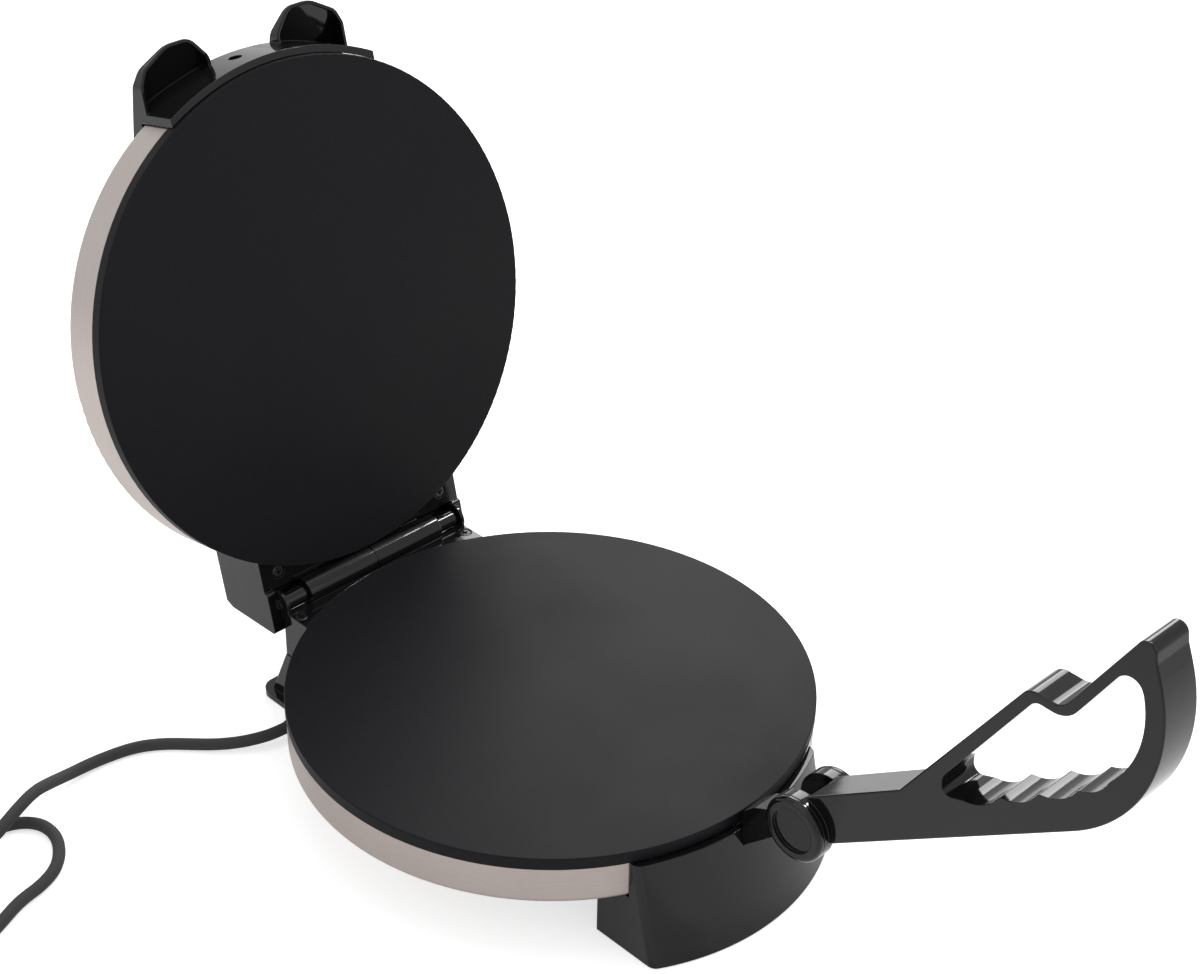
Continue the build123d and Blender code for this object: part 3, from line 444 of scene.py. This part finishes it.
def drum_vector(graph: Graph, drum: Drum) -> bpy.types.NodeSocket:
    """Coordinates whose Z runs along a drum's axis.

    Args:
        graph: The material's graph.
        drum: Which drum.

    Returns:
        The coordinates.
    """
    on_lid = drum is Drum.LID
    turn = Matrix.Rotation(OPEN_ANGLE, 3, "X") if on_lid else Matrix.Identity(3)
    centre = LID_CENTRE if on_lid else PLATE_CENTRE
    made = graph.node("Mapping", Vector=object_vector(graph))
    graph.fill(made, Rotation=turn.to_euler(), Location=-(turn @ centre))
    return made.outputs["Vector"]


# ---------------------------------------------------------------- finishes
@dataclass(frozen=True)
class Finish(ABC):
    """A surface finish, whose one material is made when a piece first wears it."""

    name: str
    colour: Colour

    @abstractmethod
    def shade(self, graph: Graph, shader: bpy.types.Node) -> None:
        """Set up the material's Principled shader.

        Args:
            graph: The material's graph.
            shader: The Principled shader.
        """

    def material(self) -> bpy.types.Material:
        """Find the finish's material, or make it the first time.

        Returns:
            The material.
        """
        found = bpy.data.materials.get(self.name)
        if found:
            return found
        made, graph, shader = start_material(self.name)
        self.shade(graph, shader)
        return made


@dataclass(frozen=True)
class GlossPlastic(Finish):
    """Moulded black plastic with a polished skin, faint smears and soft edges."""

    roughness: Range = (0.06, 0.14)
    specular: float = 0.3
    edge_radius: float = 0.0006
    edge_rub: float = 0.45
    dust: Colour = (0.09, 0.09, 0.09, 1.0)
    dust_roughness: float = 0.3
    wave_scale: float = 55.0
    wave_depth: float = 0.0003

    def shade(self, graph: Graph, shader: bpy.types.Node) -> None:
        """Set up the material's Principled shader.

        Args:
            graph: The material's graph.
            shader: The Principled shader.
        """
        vector = object_vector(graph)
        marks = HANDLING.place(graph, Vector=vector, Smear_Scale=38.0, Speck_Scale=420.0)
        edges = WORN_EDGES.place(graph, Vector=vector, Radius=self.edge_radius, Patch_Scale=90.0)
        pale = scaled(self.colour, 1.9, lift=0.004)
        rubbed = graph.mix(graph.math("MULTIPLY", edges["Edge"], self.edge_rub), self.colour, pale)
        smeared = graph.spread(marks["Smear"], *self.roughness)
        dusty = graph.math("MULTIPLY", marks["Specks"], self.dust_roughness)
        wave = graph.bump(graph.noise(vector, self.wave_scale, detail=1.0), self.wave_depth, strength=0.35)
        graph.put(wave.inputs["Normal"], edges["Normal"])
        graph.fill(
            shader,
            Base_Color=graph.mix(marks["Specks"], rubbed, self.dust),
            Roughness=graph.math("ADD", smeared, dusty, clamp=True),
            Specular_IOR_Level=self.specular,
            Normal=wave.outputs["Normal"],
        )


@dataclass(frozen=True)
class NonStickCoat(Finish):
    """A dark sprayed non-stick coat on cast metal: near matt, with a fine mottled grain."""

    roughness: Range = (0.52, 0.64)
    specular: float = 0.11
    grain_depth: float = 0.00004

    def shade(self, graph: Graph, shader: bpy.types.Node) -> None:
        """Set up the material's Principled shader.

        Args:
            graph: The material's graph.
            shader: The Principled shader.
        """
        vector = object_vector(graph)
        grain = GRAIN.place(graph, Vector=vector, Grain_Scale=1300.0)
        marks = HANDLING.place(graph, Vector=vector, Smear_Scale=17.0, Speck_Scale=260.0)
        graph.fill(
            shader,
            Base_Color=graph.mix(grain["Mottle"], scaled(self.colour, 0.8), self.colour),
            Roughness=graph.spread(marks["Smear"], *self.roughness),
            Specular_IOR_Level=self.specular,
            Normal=graph.bump(grain["Height"], self.grain_depth, strength=0.5).outputs["Normal"],
        )


@dataclass(frozen=True)
class SatinSteel(Finish):
    """Satin sheet steel, rubbed round the drum, with soft clouding and dulled marks."""

    drum: Drum
    roughness: Range = (0.30, 0.42)
    streak_share: float = 0.6
    streak_depth: float = 0.000012
    smear_share: float = 0.3
    smear_roughness: float = 0.06

    def shade(self, graph: Graph, shader: bpy.types.Node) -> None:
        """Set up the material's Principled shader.

        Args:
            graph: The material's graph.
            shader: The Principled shader.
        """
        vector = drum_vector(graph, self.drum)
        streaks = STREAKS.place(graph, Vector=vector)
        marks = HANDLING.place(graph, Vector=vector, Smear_Scale=30.0, Speck_Scale=350.0)
        low = scaled(self.colour, 0.88)
        streaky = graph.math("MULTIPLY", streaks["Streak"], self.streak_share)
        dulled = graph.math("MULTIPLY", marks["Smear"], self.smear_share)
        rough = graph.spread(streaks["Cloud"], *self.roughness)
        rougher = graph.math("MULTIPLY", marks["Smear"], self.smear_roughness)
        graph.fill(
            shader,
            Base_Color=graph.mix(dulled, graph.mix(streaky, self.colour, low), low),
            Roughness=graph.math("ADD", rough, rougher),
            Metallic=1.0,
            Normal=graph.bump(streaks["Streak"], self.streak_depth, strength=0.6).outputs["Normal"],
        )


@dataclass(frozen=True)
class MachinedMetal(Finish):
    """Small plated, ground or heat-stained metal parts."""

    stain: Colour
    roughness: Range = (0.22, 0.38)
    grain_scale: float = 2200.0
    grain_depth: float = 0.00002

    def shade(self, graph: Graph, shader: bpy.types.Node) -> None:
        """Set up the material's Principled shader.

        Args:
            graph: The material's graph.
            shader: The Principled shader.
        """
        vector = object_vector(graph)
        grain = GRAIN.place(graph, Vector=vector, Grain_Scale=self.grain_scale)
        marks = HANDLING.place(graph, Vector=vector, Smear_Scale=120.0, Speck_Scale=900.0)
        graph.fill(
            shader,
            Base_Color=graph.mix(marks["Smear"], self.colour, self.stain),
            Roughness=graph.spread(grain["Mottle"], *self.roughness),
            Metallic=1.0,
            Normal=graph.bump(grain["Height"], self.grain_depth, strength=0.3).outputs["Normal"],
        )


@dataclass(frozen=True)
class SoftJacket(Finish):
    """Flexible black insulation or rubber: smooth, with a faint bloom and fine specks."""

    roughness: Range = (0.14, 0.26)
    grain_depth: float = 0.000012
    specular: float = 0.2
    bloom_share: float = 0.7
    dust: Colour = (0.10, 0.10, 0.10, 1.0)

    def shade(self, graph: Graph, shader: bpy.types.Node) -> None:
        """Set up the material's Principled shader.

        Args:
            graph: The material's graph.
            shader: The Principled shader.
        """
        vector = object_vector(graph)
        grain = GRAIN.place(graph, Vector=vector, Grain_Scale=1800.0)
        marks = HANDLING.place(graph, Vector=vector, Smear_Scale=60.0, Speck_Scale=700.0)
        bloom = scaled(self.colour, 1.4, lift=0.001)
        dull = graph.mix(graph.math("MULTIPLY", marks["Smear"], self.bloom_share), self.colour, bloom)
        graph.fill(
            shader,
            Base_Color=graph.mix(marks["Specks"], dull, self.dust),
            Roughness=graph.spread(marks["Smear"], *self.roughness),
            Specular_IOR_Level=self.specular,
            Normal=graph.bump(grain["Height"], self.grain_depth, strength=0.5).outputs["Normal"],
        )


@dataclass(frozen=True)
class Ceramic(Finish):
    """Unglazed ceramic with a sandy face."""

    roughness: Range = (0.75, 0.9)
    grain_depth: float = 0.00006

    def shade(self, graph: Graph, shader: bpy.types.Node) -> None:
        """Set up the material's Principled shader.

        Args:
            graph: The material's graph.
            shader: The Principled shader.
        """
        grain = GRAIN.place(graph, Vector=object_vector(graph), Grain_Scale=1600.0)
        graph.fill(
            shader,
            Base_Color=graph.mix(grain["Mottle"], scaled(self.colour, 0.82), self.colour),
            Roughness=graph.spread(grain["Mottle"], *self.roughness),
            Normal=graph.bump(grain["Height"], self.grain_depth, strength=0.6).outputs["Normal"],
        )


@dataclass(frozen=True)
class LampLens(Finish):
    """A clear coloured lens with a slightly cloudy body."""

    roughness: Range = (0.05, 0.12)
    clearness: float = 0.35

    def shade(self, graph: Graph, shader: bpy.types.Node) -> None:
        """Set up the material's Principled shader.

        Args:
            graph: The material's graph.
            shader: The Principled shader.
        """
        grain = GRAIN.place(graph, Vector=object_vector(graph), Grain_Scale=900.0)
        graph.fill(
            shader,
            Base_Color=graph.mix(grain["Mottle"], scaled(self.colour, 0.7), self.colour),
            Roughness=graph.spread(grain["Mottle"], *self.roughness),
            Transmission_Weight=self.clearness,
        )


BLACK = GlossPlastic("black_gloss_plastic", linear(17, 16, 18))
COAT = NonStickCoat("non_stick_coat", linear(22, 22, 25))
BASE_BAND = SatinSteel("satin_band_lower", linear(172, 162, 158), Drum.BASE)
# The lid's band is the same steel as the lower band, written paler: painted light for the brighter light
# that its tilted drum takes.
PALER_LIT_LID_BAND = SatinSteel("satin_band_lid", linear(180, 171, 167), Drum.LID)
SHEET = MachinedMetal("plain_zinc_sheet", linear(186, 188, 190), linear(160, 160, 160), (0.35, 0.5), 700.0)
HEATER = MachinedMetal("dull_heater_tube", linear(120, 116, 112), linear(96, 84, 78), (0.45, 0.6))
GROUND = MachinedMetal("ground_rod", linear(196, 196, 198), linear(170, 168, 166), (0.18, 0.28))
PLATED = MachinedMetal("plated_screw", linear(186, 186, 188), linear(140, 138, 134))
DARK_SCREW = MachinedMetal("blackened_screw", linear(74, 73, 74), linear(48, 46, 45), (0.3, 0.45))
BRASS = MachinedMetal("polished_brass", linear(214, 184, 126), linear(180, 150, 98), (0.15, 0.28))
CLAY = Ceramic("unglazed_ceramic", linear(226, 220, 206))
RUBBER = SoftJacket("pad_rubber", linear(34, 34, 34), (0.6, 0.8), 0.00008)
JACKET = SoftJacket("cord_jacket", linear(15, 14, 16))
RED_LENS = LampLens("red_lens", linear(190, 30, 24))
GREEN_LENS = LampLens("green_lens", linear(60, 160, 70))


def dress(finish: Finish, *nodes: str) -> None:
    """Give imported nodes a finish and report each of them.

    Args:
        finish: The finish.
        nodes: The nodes' names.
    """
    for node in nodes:
        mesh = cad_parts[node].data
        mesh.materials.clear()
        mesh.materials.append(finish.material())
        log.info("%s: %s", node, finish.name)


def add_object(name: str, data: bpy.types.ID) -> bpy.types.Object:
    """Make an object and put it in the scene.

    Args:
        name: Its name.
        data: Its mesh, curve, light or camera.

    Returns:
        The object.
    """
    made = bpy.data.objects.new(name, data)
    bpy.context.scene.collection.objects.link(made)
    return made


# ---------------------------------------------------------------- camera
@dataclass
class Viewpoint:
    """The camera: where it stands, what it looks at, and its frame."""

    place: Place = (-0.62165, -0.59907, 0.75098)
    target: Place = (0.14981, 0.20810, 0.059)
    roll: float = math.radians(0.372)
    lens: float = 70.72
    sensor: float = 36.0
    shift: tuple[float, float] = (0.04167, -0.03917)
    clip: Range = (0.01, 50.0)

    def build(self) -> None:
        """Make the camera and give it to the scene."""
        data = bpy.data.cameras.new("viewpoint")
        data.lens, data.sensor_width = self.lens, self.sensor
        data.shift_x, data.shift_y = self.shift
        data.clip_start, data.clip_end = self.clip
        camera = add_object("viewpoint", data)
        ahead = (Vector(self.target) - Vector(self.place)).normalized()
        right = ahead.cross(Vector((0, 0, 1))).normalized()
        up = right.cross(ahead)
        turned_right = right * math.cos(self.roll) + up * math.sin(self.roll)
        turned_up = up * math.cos(self.roll) - right * math.sin(self.roll)
        turn = Matrix((turned_right, turned_up, -ahead)).transposed()
        camera.matrix_world = Matrix.Translation(self.place) @ turn.to_4x4()
        bpy.context.scene.camera = camera
        log.info("camera at %s", self.place)


# ---------------------------------------------------------------- mains cord
@dataclass
class MainsCord:
    """The mains cord: its free run, its put-away coil, its plug and its strain relief.

    Each of the coil's turns is given by its radius and its height above the counter. In the last part
    of a turn the cord goes over to the next one's radius and height.
    """

    radius: float = 0.003
    coil_centre: tuple[float, float] = (-0.285, 0.240)
    coil_start: float = math.radians(-90)
    turns: tuple[tuple[float, float], ...] = ((0.033, 0.003), (0.027, 0.0031), (0.030, 0.0084))
    points_per_turn: int = 14
    change_share: float = 0.25
    last_turn_share: float = 0.72
    tail: tuple[Place, ...] = (
        (-0.2545, 0.2260, 0.0100),
        (-0.2562, 0.2100, 0.0130),
        (-0.2625, 0.1945, 0.0162),
        (-0.2740, 0.1822, 0.0195),
        (-0.2890, 0.1760, 0.0227),
        (-0.3035, 0.1780, 0.0252),
        (-0.3125, 0.1870, 0.0263),
        (-0.3150, 0.1985, 0.0264),
    )
    length: float = 1.10
    route: tuple[Place, ...] = (
        (-0.0765, 0.1598, 0.0080),
        (-0.0840, 0.1602, 0.0079),
        (-0.0918, 0.1637, 0.0068),
        (-0.1000, 0.1694, 0.0053),
        (-0.1080, 0.1771, 0.0039),
        (-0.1155, 0.1858, 0.0031),
        (-0.1260, 0.1966, 0.0030),
        (-0.1388, 0.2042, 0.0032),
        (-0.1580, 0.2082, 0.0030),
        (-0.1760, 0.2060, 0.0056),
        (-0.1890, 0.2010, 0.0110),
        (-0.2000, 0.1965, 0.0150),
        (-0.2130, 0.1910, 0.0151),
        (-0.2280, 0.1865, 0.0110),
        (-0.2440, 0.1840, 0.0055),
        (-0.2620, 0.1830, 0.0030),
        (-0.2815, 0.1790, 0.0032),
        (-0.2935, 0.1708, 0.0030),
        (-0.2980, 0.1575, 0.0032),
        (-0.2939, 0.1445, 0.0030),
        (-0.2828, 0.1367, 0.0032),
        (-0.2680, 0.1365, 0.0030),
        (-0.2535, 0.1425, 0.0032),
        (-0.2405, 0.1485, 0.0030),
        (-0.2270, 0.1505, 0.0032),
        (-0.2155, 0.1560, 0.0030),
        (-0.2072, 0.1658, 0.0032),
        (-0.2030, 0.1765, 0.0030),
        (-0.2039, 0.1868, 0.0032),
        (-0.2106, 0.1952, 0.0030),
        (-0.2220, 0.1988, 0.0032),
        (-0.2320, 0.2016, 0.0030),
        (-0.2425, 0.2064, 0.0032),
        (-0.2535, 0.2100, 0.0030),
        (-0.2670, 0.2100, 0.0030),
    )

    def coil_point(self, radius: float, height: float, turned: float) -> Place:
        """A point of the coil.

        Args:
            radius: How far it is from the coil's centre.
            height: How high it is above the counter.
            turned: How much of a turn it is from the coil's start.

        Returns:
            The point.
        """
        angle = self.coil_start - 2 * math.pi * turned
        across, back = self.coil_centre
        return across + radius * math.cos(angle), back + radius * math.sin(angle), height

    def coil_points(self) -> list[Place]:
        """The control points of the put-away turns.

        Returns:
            The points in order, from the front of the coil.
        """
        points = []
        count = self.points_per_turn
        for (radius, height), (next_radius, next_height) in zip(self.turns, self.turns[1:]):
            for step in range(count):
                turned = step / count
                share = max(0.0, (turned - 1 + self.change_share) / self.change_share)
                reach = radius + (next_radius - radius) * share
                lift = height + (next_height - height) * share
                points.append(self.coil_point(reach, lift, turned))
        last_steps = int(self.last_turn_share * count)
        points += [self.coil_point(*self.turns[-1], step / count) for step in range(last_steps + 1)]
        return points

    def line(self) -> bpy.types.Object:
        """Make the cord as one spline: its free run, its coil and its rise to the plug.

        Returns:
            The curve object.
        """
        points = [*self.route, *self.coil_points(), *self.tail]
        data = bpy.data.curves.new("mains_cord", "CURVE")
        data.dimensions = "3D"
        data.bevel_depth = self.radius
        data.bevel_resolution = 6
        data.resolution_u = 10
        data.use_fill_caps = True
        spline = data.splines.new("NURBS")
        spline.points.add(len(points) - 1)
        for point, place in zip(spline.points, points):
            point.co = (*place, 1.0)
        spline.order_u = 3
        spline.use_endpoint_u = True
        return add_object("mains_cord", data)

    def build(self) -> None:
        cord = self.line()
        cord.data.materials.append(JACKET.material())
        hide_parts("cord", "cord_coil")
        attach(cord, "base")
        dress(JACKET, "plug_body", "strain_relief")
        dress(BRASS, "plug_pins")
        log.info("mains cord with %d control points", len(cord.data.splines[0].points))


# ---------------------------------------------------------------- sub-assemblies
@dataclass
class LowerUnit:
    """The lower cooking plate on its drum and feet, with the heating parts between them."""

    plastic: GlossPlastic = BLACK
    band: SatinSteel = BASE_BAND

    def plate(self) -> None:
        """Coat the cooking plate."""
        dress(COAT, "lower_plate")

    def shell(self) -> None:
        """Finish the drum, its cover, the feet and the base's side of the hinge."""
        dress(self.band, "base_drum")
        dress(SHEET, "bottom_cover")
        dress(self.plastic, "front_foot", "rear_foot", "base_hinge_bracket")
        dress(RUBBER, "foot_pads")

    def heating(self) -> None:
        """Finish the element, its shield, the heat controls and the wiring block."""
        dress(HEATER, "lower_element")
        dress(SHEET, "lower_heat_shield", "thermostat", "thermal_fuse")
        dress(CLAY, "terminal_block")

    def fasteners(self) -> None:
        """Finish the hinge rod and the screws, of which those in sight are blackened."""
        dress(GROUND, "hinge_rod")
        dress(PLATED, "base_drum_screws", "cover_screws", "rear_foot_screws")
        dress(DARK_SCREW, "deck_screws")

    def build(self) -> None:
        """Dress the whole unit."""
        self.plate()
        self.shell()
        self.heating()
        self.fasteners()


@dataclass
class LidUnit:
    """The hinged lid: the upper cooking plate, its drum, both brackets and the lamps."""

    plastic: GlossPlastic = BLACK
    # The lid's band finish is a paler copy of the lower band's steel, as painted light.
    band: SatinSteel = PALER_LIT_LID_BAND

    def plate(self) -> None:
        """Coat the cooking plate."""
        dress(COAT, "upper_plate")

    def shell(self) -> None:
        """Finish the drum, the lifting ears' bracket and the lid's side of the hinge."""
        dress(self.band, "lid_drum")
        dress(self.plastic, "lid_front_bracket", "lid_hinge_bracket")

    def heating(self) -> None:
        """Finish the element and its shield."""
        dress(HEATER, "upper_element")
        dress(SHEET, "upper_heat_shield")

    def lamps(self) -> None:
        """Finish the lenses of the power and ready lamps."""
        dress(RED_LENS, "power_lamp")
        dress(GREEN_LENS, "ready_lamp")

    def fasteners(self) -> None:
        """Finish the screws, of which those in sight are blackened."""
        dress(PLATED, "lid_front_bracket_screws", "lid_hinge_bracket_screws")
        dress(DARK_SCREW, "lid_face_screws", "lid_front_screw")

    def build(self) -> None:
        """Dress the whole lid."""
        self.plate()
        self.shell()
        self.heating()
        self.lamps()
        self.fasteners()


@dataclass
class PressHandle:
    """The handle that presses the lid down, on its arm, pin and caps."""

    plastic: GlossPlastic = BLACK

    def build(self) -> None:
        """Dress the arm, the handle and what holds them together."""
        dress(self.plastic, "pivot_arm", "handle", "pivot_caps")
        dress(GROUND, "pivot_pin")
        dress(PLATED, "pivot_arm_screws")


# ---------------------------------------------------------------- studio
@dataclass(frozen=True)
class Lamp:
    """A soft square lamp."""

    name: str
    place: Place
    size: float
    power: float

    def build(self, target: Place) -> None:
        """Place the lamp facing a point.

        Args:
            target: The point.
        """
        data = bpy.data.lights.new(self.name, "AREA")
        data.shape, data.size, data.energy = "SQUARE", self.size, self.power
        lamp = add_object(self.name, data)
        lamp.location = self.place
        ahead = Vector(target) - Vector(self.place)
        lamp.rotation_euler = ahead.to_track_quat("-Z", "Y").to_euler()


@dataclass
class Studio:
    """A plain pale floor, a white surround and soft lamps."""

    floor_size: float = 12.0
    floor_colour: Colour = (0.9, 0.9, 0.9, 1.0)
    floor_roughness: float = 0.9
    floor_lift: float = 0.58
    mirrored_lift: float = 0.30
    surround: float = 0.55
    lit_point: Place = (0.0, 0.05, 0.12)
    lamps: tuple[Lamp, ...] = (
        Lamp("lamp_left", (-1.6, 0.3, 1.2), 1.4, 5.0),
        Lamp("lamp_over", (0.1, 0.2, 1.9), 1.4, 4.5),
        Lamp("lamp_front", (0.6, -1.8, 1.3), 1.2, 3.0),
        Lamp("lamp_back", (1.35, 1.10, 1.15), 0.9, 19.0),
        Lamp("lamp_key", (1.12, 0.0, 1.60), 0.2, 9.0),
    )

    def floor(self) -> None:
        """Make the floor, which keeps a soft contact shadow under a white view."""
        mesh = bpy.data.meshes.new("floor")
        half = self.floor_size / 2
        corners = [(-half, -half, 0), (half, -half, 0), (half, half, 0), (-half, half, 0)]
        mesh.from_pydata(corners, [], [(0, 1, 2, 3)])
        piece = add_object("floor", mesh)
        made, graph, shader = start_material("pale_floor")
        path = graph.node("LightPath").outputs
        looked_at = graph.math("MULTIPLY", path["Is Camera Ray"], self.floor_lift)
        mirrored = graph.math("MULTIPLY", path["Is Glossy Ray"], self.mirrored_lift)
        graph.fill(
            shader,
            Base_Color=self.floor_colour,
            Roughness=self.floor_roughness,
            Specular_IOR_Level=0.0,
            Emission_Color=WHITE,
            Emission_Strength=graph.math("ADD", looked_at, mirrored),
        )
        mesh.materials.append(made)

    def world(self) -> None:
        """Make the surround: white where it is seen or mirrored, milder as light."""
        world = bpy.data.worlds.new("surround")
        world.use_nodes = True
        graph = Graph(world.node_tree)
        back = next(node for node in world.node_tree.nodes if node.type == "BACKGROUND")
        path = graph.node("LightPath").outputs
        seen = graph.math("MAXIMUM", path["Is Camera Ray"], path["Is Glossy Ray"])
        seen = graph.math("MAXIMUM", seen, path["Is Transmission Ray"])
        graph.fill(back, Color=WHITE, Strength=graph.spread(seen, self.surround, 1.0))
        bpy.context.scene.world = world

    def build(self) -> None:
        """Build the studio and set how the picture is shown."""
        self.floor()
        self.world()
        for lamp in self.lamps:
            lamp.build(self.lit_point)
        bpy.context.scene.view_settings.view_transform = "Standard"
        log.info("floor, surround and %d lamps", len(self.lamps))


def main() -> None:
    """Build the camera, the cord, the cooker's units and the studio."""
    for part in (Viewpoint(), MainsCord(), LowerUnit(), LidUnit(), PressHandle(), Studio()):
        part.build()


if __name__ == "__main__":
    main()
